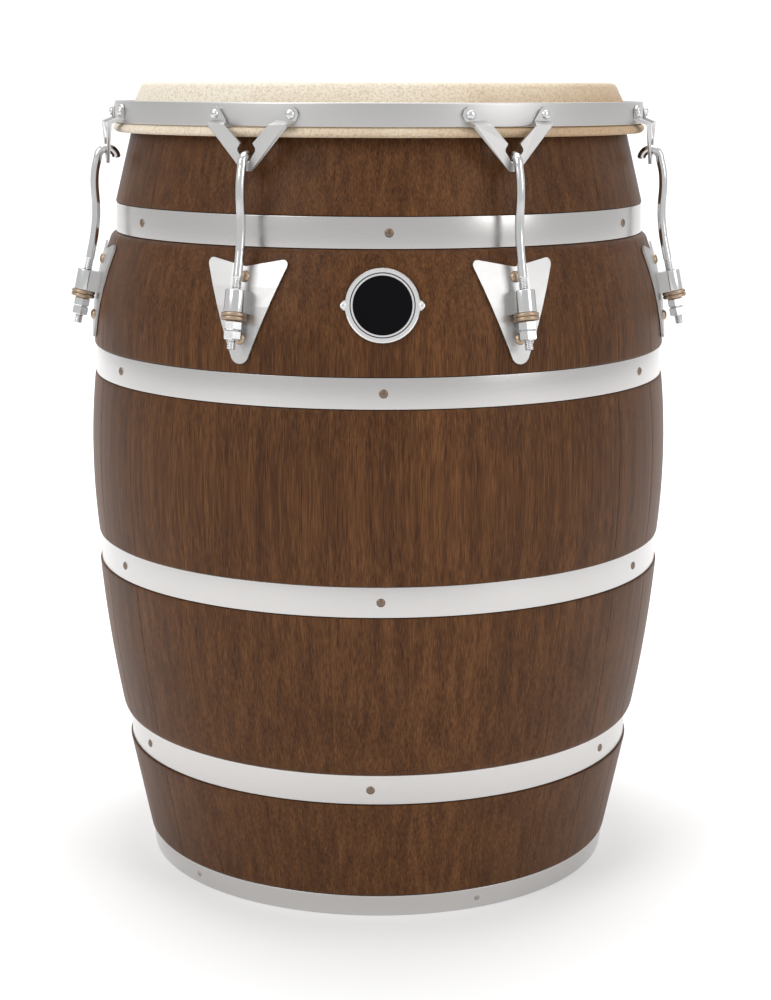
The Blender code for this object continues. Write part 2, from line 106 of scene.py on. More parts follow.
# A mesh from rows by columns of points in millimetres, each point joined to the next in its row and column.
# The columns close into a ring, and the rows only with loopRows. Open ends are filled.
def gridMesh(name, points, loopRows=False, sharp=35.0):
    rows, columns = points.shape[:2]
    index = np.arange(rows * columns).reshape(rows, columns)
    down = np.roll(index, -1, axis=0)
    if not loopRows:
        index = index[:-1]
        down = down[:-1]
    right = np.roll(index, -1, axis=1)
    downRight = np.roll(down, -1, axis=1)
    quads = np.stack((index, down, downRight, right), axis=-1)
    mesh = bpy.data.meshes.new(name)
    mesh.from_pydata((points.reshape(-1, 3) * mm).tolist(), [], quads.reshape(-1, 4).tolist())
    bm = bmesh.new()
    bm.from_mesh(mesh)
    bmesh.ops.remove_doubles(bm, verts=bm.verts, dist=0.002 * mm)
    loose = [edge for edge in bm.edges if edge.is_boundary]
    if loose:
        bmesh.ops.holes_fill(bm, edges=loose)
    bmesh.ops.recalc_face_normals(bm, faces=bm.faces)
    bm.to_mesh(mesh)
    bm.free()
    return smoothed(mesh, sharp)


# Radius r and height z at the angle b about the local Z axis: x = r sin b, y = -r cos b
def turnedPoints(r, z, angles):
    return np.stack((r * np.sin(angles), -r * np.cos(angles), z + 0 * r * angles), axis=-1)


# A profile of (r, z) turned about the local Z axis, with its columns at equal angles
def turnedMesh(name, profile, closed=True, sides=240, sharp=35.0):
    angles = np.arange(sides) * math.tau / sides
    points = turnedPoints(profile[:, 0][:, None], profile[:, 1][:, None], angles)
    return gridMesh(name, points, loopRows=closed, sharp=sharp)


# Moves to the barrel's axis, then turns about it by the bearing
def barrelPlace(bearing=0.0):
    return Matrix.Translation((0, axisY * mm, 0)) @ Matrix.Rotation(math.radians(bearing), 4, "Z")


# Local +Z points out at that radius and height. A turn of pi / 2 - tilt about X tips it up by tilt.
def outwards(r, z, bearing=0.0, tilt=0.0):
    spot = Matrix.Translation(Vector((0, -r, z)) * mm)
    return barrelPlace(bearing) @ spot @ Matrix.Rotation(math.pi / 2 - tilt, 4, "X")


# Local Z lies along a rod, with its origin that distance below the receiver's top:
# radius = top + sin(lean) distance, height = receiver's top - cos(lean) distance
def onRod(bearing, distance):
    top = math.tan(lean) * (leanTop[1] - receiverTopZ) + leanTop[0]
    start = Vector((0, -top - math.sin(lean) * distance, receiverTopZ - math.cos(lean) * distance))
    return barrelPlace(bearing) @ Matrix.Translation(start * mm) @ Matrix.Rotation(-lean, 4, "X")


# A copy of a mesh, moved to its place
def placedCopy(mesh, place):
    copy = mesh.copy()
    copy.transform(place)
    return copy


# One mesh from (mesh, matrix, material index) parts, each moved to its place
def joined(name, parts, sharp=40.0):
    whole = bmesh.new()
    for source, matrix, slotIndex in parts:
        part = placedCopy(source, matrix)
        part.polygons.foreach_set("material_index", [slotIndex] * len(part.polygons))
        whole.from_mesh(part)
        bpy.data.meshes.remove(part)
    mesh = bpy.data.meshes.new(name)
    whole.to_mesh(mesh)
    whole.free()
    return smoothed(mesh, sharp)


# Links a mesh as an object, and says what it rides on, what it replaces and which materials it has
def addPiece(name, mesh, materials, body=None, replaced=()):
    obj = bpy.data.objects.new(name, mesh)
    mesh.materials.clear()
    for material in materials:
        mesh.materials.append(material)
    bpy.context.scene.collection.objects.link(obj)
    if body:
        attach(obj, body)
    if replaced:
        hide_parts(*replaced)
    return obj


# Shoulder and cross are shares of the head's radius and height. The thickness is in millimetres, and the
# turn in radians.
screwShape = dict(
    sides=40,
    shoulderR=0.8,
    shoulderZ=0.86,
    shoulderRound=0.35,
    crossLength=1.05,
    crossWidth=0.2,
    crossThickness=0.12,
    crossTurn=0.6,
)


# A pan head and the thin dark cross on top of it, as two meshes. The cross is painted shade for the head's
# recessed slot.
def crossScrew(name, radius, height):
    shoulder = (
        radius * screwShape["shoulderR"],
        height * screwShape["shoulderZ"],
        radius * screwShape["shoulderRound"],
    )
    profile = roundedProfile(((0, height, 0), shoulder, (radius, 0, 0), (0, 0, 0)), False)
    head = turnedMesh(name, profile, closed=False, sides=screwShape["sides"])
    length = radius * screwShape["crossLength"] * mm
    width = radius * screwShape["crossWidth"] * mm
    size = Matrix.Diagonal((length, width, screwShape["crossThickness"] * mm, 1.0))
    lift = Matrix.Translation((0, 0, height * mm))
    cross = bmesh.new()
    for quarter in (0.0, math.pi / 2):
        turn = Matrix.Rotation(quarter + screwShape["crossTurn"], 4, "Z")
        bmesh.ops.create_cube(cross, size=1.0, matrix=lift @ turn @ size)
    crossMesh = bpy.data.meshes.new(name + "Cross")
    cross.to_mesh(crossMesh)
    cross.free()
    return head, crossMesh


# The two meshes of a crossScrew as parts for joined, the head in slot 0 and the cross, its painted slot
# shade, in slot 1
def screwParts(screw, place):
    return [(mesh, place, slotIndex) for slotIndex, mesh in enumerate(screw)]


# Materials


# A Principled material, with its node tree and its shader
def newMaterial(name, colour, roughness, metallic=0.0):
    material = bpy.data.materials.new(name)
    material.use_nodes = True
    shader = material.node_tree.nodes["Principled BSDF"]
    shader.inputs["Base Color"].default_value = (*colour, 1.0)
    shader.inputs["Roughness"].default_value = roughness
    shader.inputs["Metallic"].default_value = metallic
    return material, material.node_tree, shader


# A Math node on numbers or sockets
def mathNode(tree, operation, a, b=None):
    node = tree.nodes.new("ShaderNodeMath")
    node.operation = operation
    for socket, value in zip(node.inputs, (a, b)):
        if isinstance(value, (int, float)):
            socket.default_value = value
        elif value is not None:
            tree.links.new(value, socket)
    return node.outputs[0]


# A noise between 0 and 1 at each place, with scale bumps to a metre
def noiseNode(tree, vector, scale, detail=4.0, roughness=0.55, distortion=0.0):
    node = tree.nodes.new("ShaderNodeTexNoise")
    tree.links.new(vector, node.inputs["Vector"])
    node.inputs["Scale"].default_value = scale
    node.inputs["Detail"].default_value = detail
    node.inputs["Roughness"].default_value = roughness
    node.inputs["Distortion"].default_value = distortion
    return node.outputs["Fac"]


# A colour ramp with a (position, colour) pair for each stop
def rampNode(tree, factor, stops):
    node = tree.nodes.new("ShaderNodeValToRGB")
    elements = node.color_ramp.elements
    while len(elements) < len(stops):
        elements.new(0.5)
    for element, (position, colour) in zip(elements, stops):
        element.position = position
        element.color = (*colour, 1.0)
    tree.links.new(factor, node.inputs["Fac"])
    return node.outputs["Color"]


# Maps the first pair of values onto the second pair, and holds the ends
def rangeNode(tree, factor, fromPair, toPair):
    node = tree.nodes.new("ShaderNodeMapRange")
    tree.links.new(factor, node.inputs["Value"])
    for key, value in zip(("From Min", "From Max", "To Min", "To Max"), (*fromPair, *toPair)):
        node.inputs[key].default_value = value
    return node.outputs["Result"]


# A vector times a scale for each axis, so that a small scale makes a long pattern
def stretched(tree, vector, scale):
    node = tree.nodes.new("ShaderNodeMapping")
    node.inputs["Scale"].default_value = scale
    tree.links.new(vector, node.inputs["Vector"])
    return node.outputs[0]


# Tips the shader's normal by the slope of height times distance, by the share strength
def addBump(tree, shader, height, strength, distance):
    node = tree.nodes.new("ShaderNodeBump")
    node.inputs["Strength"].default_value = strength
    node.inputs["Distance"].default_value = distance
    tree.links.new(height, node.inputs["Height"])
    tree.links.new(node.outputs["Normal"], shader.inputs["Normal"])


arcRadius = 0.24  # turns an angle into a length along the barrel's skin


# Coordinates about the barrel's axis: angle = atan2(x, axis - y), across = sqrt(x^2 + (axis - y)^2).
# Bearing is the angle in degrees, and Round is (angle times arcRadius, across, height).
def barrelGroup():
    group = bpy.data.node_groups.new("barrelCoordinates", "ShaderNodeTree")
    for name, kind in (("Bearing", "NodeSocketFloat"), ("Round", "NodeSocketVector")):
        group.interface.new_socket(name, in_out="OUTPUT", socket_type=kind)
    place = group.nodes.new("ShaderNodeTexCoord")
    split = group.nodes.new("ShaderNodeSeparateXYZ")
    group.links.new(place.outputs["Object"], split.inputs[0])
    sideways = split.outputs["X"]
    forward = mathNode(group, "SUBTRACT", axisY * mm, split.outputs["Y"])
    angle = mathNode(group, "ARCTAN2", sideways, forward)
    bearing = mathNode(group, "MULTIPLY", angle, 180.0 / math.pi)
    arcLength = mathNode(group, "MULTIPLY", angle, arcRadius)
    squares = [mathNode(group, "MULTIPLY", value, value) for value in (sideways, forward)]
    across = mathNode(group, "SQRT", mathNode(group, "ADD", *squares))
    vector = group.nodes.new("ShaderNodeCombineXYZ")
    for socket, value in zip(vector.inputs, (arcLength, across, split.outputs["Z"])):
        group.links.new(value, socket)
    out = group.nodes.new("NodeGroupOutput")
    group.links.new(bearing, out.inputs["Bearing"])
    group.links.new(vector.outputs[0], out.inputs["Round"])
    return group


roundGroup = barrelGroup()


# The barrel's coordinates in a material's own tree
def roundNode(tree):
    node = tree.nodes.new("ShaderNodeGroup")
    node.node_tree = roundGroup
    return node.outputs


# A noise is (scale, detail, roughness, distortion), and a bump is (strength, distance)
woodLook = dict(
    colour=(0.115, 0.05, 0.026),
    roughness=0.42,
    stretch=(1.0, 1.0, 0.03),
    figure=(150.0, 6.0, 0.62, 0.3),
    figureShare=0.42,
    pores=(1150.0, 3.0, 0.62),
    poresShare=0.58,
    stops=((0.36, (0.036, 0.0128, 0.0052)), (0.5, (0.08, 0.0315, 0.0105)), (0.63, (0.132, 0.055, 0.0195))),
    darkestStave=0.87,
    staveSpread=0.26,
    poresRoughness=(0.36, 0.54),
    specular=0.13,
    bump=(0.28, 0.0004),
)


# Each stave, numbered by its bearing, has a random place in the grain and a random tone:
# grain = shares of figure and pores, tone = darkestStave + staveSpread times a random number
def woodMaterial():
    look = woodLook
    material, tree, shader = newMaterial("stainedWood", look["colour"], look["roughness"])
    place = roundNode(tree)
    fromSeam = mathNode(tree, "ADD", place["Bearing"], 360.0 - seamBearing)
    stave = mathNode(tree, "FLOOR", mathNode(tree, "DIVIDE", fromSeam, 360.0 / staveCount))
    chance = tree.nodes.new("ShaderNodeTexWhiteNoise")
    chance.noise_dimensions = "1D"
    tree.links.new(stave, chance.inputs["W"])
    shift = tree.nodes.new("ShaderNodeVectorMath")
    shift.operation = "ADD"
    tree.links.new(place["Round"], shift.inputs[0])
    tree.links.new(chance.outputs["Color"], shift.inputs[1])
    long = stretched(tree, shift.outputs[0], look["stretch"])
    figure = noiseNode(tree, long, *look["figure"])
    pores = noiseNode(tree, long, *look["pores"])
    figurePart = mathNode(tree, "MULTIPLY", figure, look["figureShare"])
    grain = mathNode(tree, "ADD", figurePart, mathNode(tree, "MULTIPLY", pores, look["poresShare"]))
    spread = mathNode(tree, "MULTIPLY", chance.outputs["Value"], look["staveSpread"])
    tone = tree.nodes.new("ShaderNodeHueSaturation")
    tree.links.new(mathNode(tree, "ADD", spread, look["darkestStave"]), tone.inputs["Value"])
    tree.links.new(rampNode(tree, grain, look["stops"]), tone.inputs["Color"])
    tree.links.new(tone.outputs["Color"], shader.inputs["Base Color"])
    tree.links.new(rangeNode(tree, pores, (0.0, 1.0), look["poresRoughness"]), shader.inputs["Roughness"])
    shader.inputs["Specular IOR Level"].default_value = look["specular"]
    addBump(tree, shader, grain, *look["bump"])
    return material


# A metal whose roughness runs between two values with a noise, stretched along (arc, across, height)
def metalMaterial(name, colour, roughness, scale, stretch=(1.0, 1.0, 1.0), bump=0.0):
    material, tree, shader = newMaterial(name, colour, roughness[0], 1.0)
    marks = noiseNode(tree, stretched(tree, roundNode(tree)["Round"], stretch), scale, 3.0)
    tree.links.new(rangeNode(tree, marks, (0.0, 1.0), roughness), shader.inputs["Roughness"])
    if bump:
        addBump(tree, shader, marks, bump, 0.0001)
    return material


hideLook = dict(
    colour=(0.72, 0.6, 0.42),
    roughness=0.6,
    cloud=(9.0, 5.0, 0.6, 0.5),
    cloudShare=0.75,
    sidewaysDarkening=1.7,
    rimHeights=(0.684, 0.652),
    rimDarkening=(0.0, 0.34),
    toneStops=((0.25, (0.75, 0.69, 0.58)), (0.55, (0.68, 0.58, 0.44)), (0.95, (0.46, 0.32, 0.19))),
    specks=(480.0, 6.0, 0.75),
    speckStops=((0.38, (0.5, 0.36, 0.24)), (0.53, (1.0, 1.0, 1.0))),
    speckShare=0.52,
    scatter=0.08,
    scatterReach=0.003,
    bump=(0.25, 0.0004),
)


# hideTone = cloudShare times a noise + sidewaysDarkening times x + rimDarkening, which grows down the rim; a
# higher hideTone is darker
def hideMaterial():
    look = hideLook
    material, tree, shader = newMaterial("rawHide", look["colour"], look["roughness"])
    place = tree.nodes.new("ShaderNodeTexCoord").outputs["Object"]
    split = tree.nodes.new("ShaderNodeSeparateXYZ")
    tree.links.new(place, split.inputs[0])
    cloud = mathNode(tree, "MULTIPLY", noiseNode(tree, place, *look["cloud"]), look["cloudShare"])
    sideways = mathNode(tree, "MULTIPLY", split.outputs["X"], look["sidewaysDarkening"])
    rim = rangeNode(tree, split.outputs["Z"], look["rimHeights"], look["rimDarkening"])
    hideTone = mathNode(tree, "ADD", mathNode(tree, "ADD", cloud, sideways), rim)
    specks = noiseNode(tree, place, *look["specks"])
    mix = tree.nodes.new("ShaderNodeMix")
    mix.data_type = "RGBA"
    mix.blend_type = "MULTIPLY"
    mix.inputs["Factor"].default_value = look["speckShare"]
    tree.links.new(rampNode(tree, hideTone, look["toneStops"]), mix.inputs["A"])
    tree.links.new(rampNode(tree, specks, look["speckStops"]), mix.inputs["B"])
    tree.links.new(mix.outputs["Result"], shader.inputs["Base Color"])
    shader.inputs["Subsurface Weight"].default_value = look["scatter"]
    shader.inputs["Subsurface Scale"].default_value = look["scatterReach"]
    addBump(tree, shader, specks, *look["bump"])
    return material


wood = woodMaterial()
steel = metalMaterial("bandSteel", (0.56, 0.545, 0.535), (0.2, 0.3), 60.0, stretch=(1.0, 1.0, 60.0), bump=0.1)
chrome = metalMaterial("polishedChrome", (0.66, 0.66, 0.665), (0.14, 0.22), 90.0)
satinPlate = metalMaterial("satinPlate", (0.53, 0.525, 0.52), (0.36, 0.44), 120.0)
screwBronze = metalMaterial("screwBronze", (0.2, 0.15, 0.115), (0.3, 0.42), 300.0)
bronze = metalMaterial("bronzePlate", (0.4, 0.3, 0.215), (0.3, 0.46), 300.0, bump=0.05)
nickel = metalMaterial("nickelPlate", (0.36, 0.34, 0.32), (0.25, 0.35), 300.0)
badgeSteel = metalMaterial("badgeSteel", (0.78, 0.78, 0.78), (0.3, 0.38), 200.0)
hide = hideMaterial()
blackField, _, fieldShader = newMaterial("blackField", (0.006, 0.006, 0.007), 0.5)
fieldShader.inputs["Specular IOR Level"].default_value = 0.0
# Near black for the crosses on the screw heads: painted shade standing in for their recessed slots
slotShade = newMaterial("paintedSlotShade", (0.02, 0.016, 0.013), 0.6)[0]
print("stage: materials")

# Barrel: the wall's section turned about its axis, with a fine groove along each joint between two staves

barrel = dict(
    bearingEdge=((193.4, 676.0, 0), (195.6, 684.1, 1.5), (199.5, 683.8, 2.5), (208.9, 673.1, 0)),
    woodTopZ=672.6,
    bellyZ=366.0,
    innerR=239.6,
    innerUp=4.8e-4,
    innerDown=3.9e-4,
    innerRows=40,
    bandGap=0.5,
    bandDepth=1.8,
    grooveDepth=0.3,
    grooveWidth=0.42,
    grooveR=250.0,
    grooveColumns=(-0.32, -0.16, -0.07, 0.0, 0.07, 0.16, 0.32),
    plainMargin=1.3,
    plainColumns=9,
)
# Name, CAD node, height and outer radius of the top, height and outer radius of the foot
bandRows = (
    ("shoulderBand", "shoulder_band", 584.8, 229.8, 560.0, 230.5),
    ("upperBellyBand", "upper_belly_band", 462.5, 250.0, 437.5, 250.5),
    ("lowerBellyBand", "lower_belly_band", 295.5, 250.0, 270.3, 250.1),
    ("footBand", "foot_band", 131.1, 227.9, 105.6, 226.7),
    ("baseRing", "base_ring", 18.8, 210.3, 0.0, 207.4),
)
# The wood above each band: z0, r0, slope, bulge, drop and height of the top's round, then of the foot's
stretchRows = (
    (585.9, 230.3, -0.2474, 0.0, 0.0, 1.0, 0.8, 1.2),
    (460.8, 251.6, 0.0, 1.8e-3, 4.0, 4.5, 0.8, 1.2),
    (366.0, 255.65, 0.0, 7.8e-4, 0.8, 1.2, 0.8, 1.2),
    (366.0, 255.65, 0.0, 4.2e-4, 0.8, 1.2, 3.6, 8.0),
    (103.4, 228.1, 0.2035, 0.0, 0.8, 1.2, 0.8, 1.2),
)


# radius = r0 + slope dz - bulge dz^2, with dz = z - z0
def stretchRadius(row, z):
    z0, r0, slope, bulge = row[:4]
    return r0 + slope * (z - z0) - bulge * (z - z0) ** 2


# A stretch's points, closer together towards its ends: its radius less an elliptical round at each end
def stretchOutline(row, topZ, footZ, count=34):
    topDrop, topHeight, footDrop, footHeight = row[4:]
    z = (topZ + footZ) / 2 + (topZ - footZ) / 2 * np.cos(np.linspace(0.0, math.pi, count))
    r = stretchRadius(row, z)
    for drop, height, distance in ((topDrop, topHeight, topZ - z), (footDrop, footHeight, z - footZ)):
        near = np.clip(1.0 - distance / height, 0.0, 1.0)
        r = r - drop * (1.0 - np.sqrt(1.0 - near**2))
    return np.stack((r, z), axis=-1)


# The radius of the stretch that carries the side plates and the badge
def shellRadius(z):
    return stretchRadius(stretchRows[1], z)


# How far its outward normal points up, in radians: atan(2 bulge dz)
def shellTilt(z):
    return math.atan(2 * stretchRows[1][3] * (z - stretchRows[1][0]))


outline = [roundedProfile(barrel["bearingEdge"], False)]
stretchTop = barrel["woodTopZ"]
for row, (_, _, topZ, topR, footZ, footR) in zip(stretchRows, bandRows):
    grooveTop = topZ + barrel["bandGap"]
    grooveFoot = max(footZ - barrel["bandGap"], 0.0)
    grooveR = np.array((topR, footR)) - barrel["bandDepth"]
    outline.append(stretchOutline(row, stretchTop, grooveTop))
    outline.append(np.stack((grooveR, (grooveTop, grooveFoot)), axis=-1))
    stretchTop = grooveFoot
outer = np.concatenate(outline)
# The inner wall curves in more above the belly than below it: radius = innerR - bulge dz^2
innerZ = np.linspace(0.0, barrel["bearingEdge"][0][1], barrel["innerRows"])[:-1]
innerBulge = np.where(innerZ > barrel["bellyZ"], barrel["innerUp"], barrel["innerDown"])
innerR = barrel["innerR"] - innerBulge * (innerZ - barrel["bellyZ"]) ** 2

share = 360.0 / staveCount
plain = np.linspace(barrel["plainMargin"], share - barrel["plainMargin"], barrel["plainColumns"])
columns = np.concatenate((np.array(barrel["grooveColumns"]), plain))
angles = np.radians((seamBearing + np.arange(staveCount)[:, None] * share + columns).ravel())
# The groove is a bell curve of the distance along the skin to the nearest joint
fromJoint = np.radians(np.minimum(np.abs(columns), share - columns)) * barrel["grooveR"]
sink = np.tile(barrel["grooveDepth"] * np.exp(-((fromJoint / barrel["grooveWidth"]) ** 2)), staveCount)
wallR = np.concatenate((outer[:, 0][:, None] - sink, innerR[:, None] + 0 * sink))
wallZ = np.concatenate((outer[:, 1], innerZ))[:, None]
barrelMesh = gridMesh("barrel", turnedPoints(wallR, wallZ, angles), loopRows=True, sharp=40.0)
barrelMesh.transform(barrelPlace())
stavePairs = [f"stave_pair_{k + 1:02d}" for k in range(staveCount // 2)]
addPiece("stavedBarrel", barrelMesh, [wood], "root", stavePairs)
print("stage: barrel")

# Steel bands with their screws

bands = dict(thickness=1.5, rounds=(0.5, 0.3))
bandScrews = dict(radius=3.6, height=1.3, count=6, first=(2.2, 1.1, 0.7, -1.3), sunk=0.05)
ringScrews = dict(radius=2.6, height=1.0, ring=dict(count=5, first=24.0, r=208.8, z=9.4, tilt=-0.15))

for name, node, topZ, topR, footZ, footR in bandRows:
    section = ringProfile((topR, topZ), (footR, footZ), bands["thickness"], bands["rounds"])
    bandMesh = turnedMesh(name, section, sides=288, sharp=50.0)
    bandMesh.transform(barrelPlace())
    addPiece(name, bandMesh, [steel], "root", [node])


# Screws at equal bearings round the barrel: bearing = first + turn times 360 / count
def screwRing(screw, count, first, r, z, tilt=0.0):
    parts = []
    for turn in range(count):
        parts += screwParts(screw, outwards(r, z, first + turn * 360.0 / count, tilt))
    return parts


bandScrew = crossScrew("bandScrew", bandScrews["radius"], bandScrews["height"])
screwPieces = []
for first, (_, _, topZ, topR, footZ, footR) in zip(bandScrews["first"], bandRows):
    screwR = (topR + footR) / 2 - bandScrews["sunk"]
    screwPieces += screwRing(bandScrew, bandScrews["count"], first, screwR, (topZ + footZ) / 2)
addPiece("bandScrews", joined("bandScrews", screwPieces), [screwBronze, slotShade], "root")

ringScrew = crossScrew("ringScrew", ringScrews["radius"], ringScrews["height"])
ringMesh = joined("ringScrews", screwRing(ringScrew, **ringScrews["ring"]))
addPiece("ringScrews", ringMesh, [nickel, slotShade], "root")
print("stage: bands")

# Hide: one sheet from the playing face over the bearing edge and round the flesh hoop

hideSizes = dict(
    faceR=196.0,
    faceZ=686.4,
    faceRows=24,
    skirtOuter=((196.0, 686.4, 0), (204.9, 686.4, 4.2), (219.2, 656.4, 0)),
    skirtInner=((217.6, 656.6, 0), (203.4, 684.6, 2.6), (0.0, 684.6, 0)),
    rollR=225.9,
    rollZ=648.45,
    rollWide=4.9,
    rollHigh=3.95,
    rollFrom=125.0,
    rollTo=-200.0,
    rollRows=44,
)
faceLine = np.linspace(0.0, hideSizes["faceR"], hideSizes["faceRows"])
face = np.stack((faceLine, np.full(hideSizes["faceRows"], hideSizes["faceZ"])), axis=-1)
# The roll is an ellipse: r = rollR + rollWide cos a, z = rollZ + rollHigh sin a
rollAngles = np.radians(np.linspace(hideSizes["rollFrom"], hideSizes["rollTo"], hideSizes["rollRows"]))
rollR = hideSizes["rollR"] + hideSizes["rollWide"] * np.cos(rollAngles)
rollZ = hideSizes["rollZ"] + hideSizes["rollHigh"] * np.sin(rollAngles)
skirtOuter = roundedProfile(hideSizes["skirtOuter"], False, 9)
skirtInner = roundedProfile(hideSizes["skirtInner"], False, 6)
hideProfile = np.concatenate((face, skirtOuter, np.stack((rollR, rollZ), axis=-1), skirtInner))
hideMesh = turnedMesh("hide", hideProfile, closed=False, sides=288, sharp=60.0)
hideMesh.transform(barrelPlace())
hideSheet = addPiece("hideHead", hideMesh, [hide])
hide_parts("head_hide", "flesh_hoop")
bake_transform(hideSheet)

hoop = dict(outerR=229.4, innerR=226.4, topZ=671.1, footZ=652.7, topRound=1.3, footRound=0.6)
hoopCorners = (
    (hoop["outerR"], hoop["topZ"], hoop["topRound"]),
    (hoop["outerR"], hoop["footZ"], hoop["footRound"]),
    (hoop["innerR"], hoop["footZ"], hoop["footRound"]),
    (hoop["innerR"], hoop["topZ"], hoop["topRound"]),
)
hoopMesh = turnedMesh("hoop", roundedProfile(hoopCorners, True, 7), sides=288, sharp=60.0)
hoopMesh.transform(barrelPlace())
addPiece("crownHoop", hoopMesh, [satinPlate], "crown", ["crown_hoop"])
print("stage: head")

# Lugs: hook rod with its thread, washers, sleeve and bolts. The CAD clamps, plates and nuts get round edges.

rod = dict(
    radius=3.6,
    sides=28,
    hookR=238.0,
    hookZ=623.2,
    hookRadius=8.0,
    hookRows=25,
    bend=((248.5, 612.5), (249.3, 600.0), (248.5, 584.0), (248.8, 572.0), (250.4, 560.0)),
    bendRows=9,
    straightRows=330,
    endShare=0.7,
    threadTop=539.0,
    threadFade=1.5,
    pitch=25.4 / 18,
    ridge=0.34,
)


# The rod's middle line: a half circle for the hook, a Catmull-Rom curve through the bend, a straight lean.
# Between b and c: (2b + (c - a) t + (2a - 5b + 4c - d) t^2 + (3b - a - 3c + d) t^3) / 2
def rodLine():
    turn = np.radians(np.linspace(180.0, 0.0, rod["hookRows"]))
    hookR = rod["hookR"] + rod["hookRadius"] * np.cos(turn)
    hookLine = np.stack((hookR, rod["hookZ"] + rod["hookRadius"] * np.sin(turn)), axis=-1)
    control = np.array([hookLine[-2], hookLine[-1], *rod["bend"], leanTop, leanFoot])
    t = np.linspace(0.0, 1.0, rod["bendRows"])[1:, None]
    curves = []
    for a, b, c, d in zip(control[:-3], control[1:-2], control[2:-1], control[3:]):
        square = (2 * a - 5 * b + 4 * c - d) * t**2
        curves.append(0.5 * (2 * b + (c - a) * t + square + (3 * b - a - 3 * c + d) * t**3))
    along = np.linspace(0.0, 1.0, rod["straightRows"])[1:, None]
    straight = along * (np.array(leanFoot) - np.array(leanTop)) + np.array(leanTop)
    return np.concatenate((hookLine, *curves, straight))


# Rings of points about that line. The thread is a triangle wave along the rod that turns once a pitch,
# and it starts over a short fade. The first and last rings are smaller, as a chamfer.
def rodPoints():
    middle = rodLine()
    tangent = np.gradient(middle, axis=0)
    tangent /= np.linalg.norm(tangent, axis=1)[:, None]
    normal = np.stack((tangent[:, 1], -tangent[:, 0]), axis=-1)
    around = np.arange(rod["sides"]) * math.tau / rod["sides"]
    run = np.concatenate(((0.0,), np.cumsum(np.linalg.norm(np.diff(middle, axis=0), axis=1))))
    phase = run[:, None] / rod["pitch"] - around[None] / math.tau
    threaded = np.clip((rod["threadTop"] - middle[:, 1]) / rod["threadFade"], 0.0, 1.0)[:, None]
    ridges = rod["ridge"] * (np.abs((phase % 1.0) - 0.5) * 4.0 - 1.0) - rod["ridge"]
    radius = rod["radius"] + ridges * threaded
    radius[[0, -1]] *= rod["endShare"]
    outR = middle[:, 0][:, None] + normal[:, 0][:, None] * radius * np.cos(around)
    outZ = middle[:, 1][:, None] + normal[:, 1][:, None] * radius * np.cos(around)
    return np.stack((radius * np.sin(around), -outR, outZ), axis=-1)


washer = dict(radius=10.0, wall=5.7, thickness=3.0, rounds=(1.3, 0.4), gap=0.3)
sleeve = dict(radius=8.4, wall=4.0, rounds=(0.9, 0.3))
bolt = dict(
    radius=4.7,
    height=3.0,
    shoulder=(3.9, 2.6, 2.4),
    plateHeights=(538.0, 490.0),
    plateLift=2.6,
    earScale=(0.87, 0.9),
    earAcross=33.4,
    earR=232.1,
    earSunk=0.2,
    earZ=662.0,
)
edgeRound = dict(width=0.45, segments=2, angle=40.0)


# A short tube from the height 0 up, for the washers and the receivers' sleeves
def tubeMesh(name, sizes, length):
    radius = sizes["radius"]
    section = ringProfile((radius, length), (radius, 0.0), sizes["wall"], sizes["rounds"], 6)
    return turnedMesh(name, section, sides=64, sharp=60.0)


rodMesh = gridMesh("rod", rodPoints(), sharp=60.0)
washerMesh = tubeMesh("washer", washer, washer["thickness"])
sleeveMesh = tubeMesh("sleeve", sleeve, receiverLength)
dome = roundedProfile(((0, bolt["height"], 0), bolt["shoulder"], (bolt["radius"], 0, 0), (0, 0, 0)), False, 8)
boltMesh = turnedMesh("bolt", dome, closed=False, sides=36, sharp=50.0)
earBoltMesh = turnedMesh("earBolt", dome * np.array(bolt["earScale"]), closed=False, sides=36, sharp=50.0)
earTurn = math.degrees(math.asin(bolt["earAcross"] / bolt["earR"]))

for k, bearing in enumerate(lugBearings):
    number = k + 1
    lugRod = placedCopy(rodMesh, barrelPlace(bearing))
    addPiece(f"hookRod{number}", lugRod, [chrome], f"rod_{number}", [f"hook_rod_{number}"])
    below = receiverLength + washer["gap"]
    washerParts = [(washerMesh, onRod(bearing, below + turn * washer["thickness"]), 0) for turn in (1, 2)]
    pair = joined("pair", washerParts, sharp=60.0)
    addPiece(f"washers{number}", pair, [bronze], "root", [f"washer_pair_{number}"])
    bolts = []
    for z in bolt["plateHeights"]:
        bolts.append((boltMesh, outwards(shellRadius(z) + bolt["plateLift"], z, bearing, shellTilt(z)), 0))
    addPiece(f"plateBolts{number}", joined("plateBolts", bolts), [bronze], "root")
    lugSleeve = placedCopy(sleeveMesh, onRod(bearing, receiverLength))
    addPiece(f"receiverSleeve{number}", lugSleeve, [chrome], "root")
    ears = []
    for side in (-1, 1):
        place = outwards(bolt["earR"] - bolt["earSunk"], bolt["earZ"], bearing + side * earTurn)
        ears.append((earBoltMesh, place, 0))
    addPiece(f"earBolts{number}", joined("earBolts", ears), [chrome], "crown")
    for node, material in (("v_clamp", satinPlate), ("side_plate", satinPlate), ("tuning_nut", chrome)):
        obj = nodes[f"{node}_{number}"]
        obj.data.materials.clear()
        obj.data.materials.append(material)
        bevel = obj.modifiers.new("roundEdges", "BEVEL")
        bevel.width = edgeRound["width"] * mm
        bevel.segments = edgeRound["segments"]
        bevel.limit_method = "ANGLE"
        bevel.angle_limit = math.radians(edgeRound["angle"])
        bevel.harden_normals = False
print("stage: lugs")

# Badge: its black field is bare, inside a thin black line round the rim

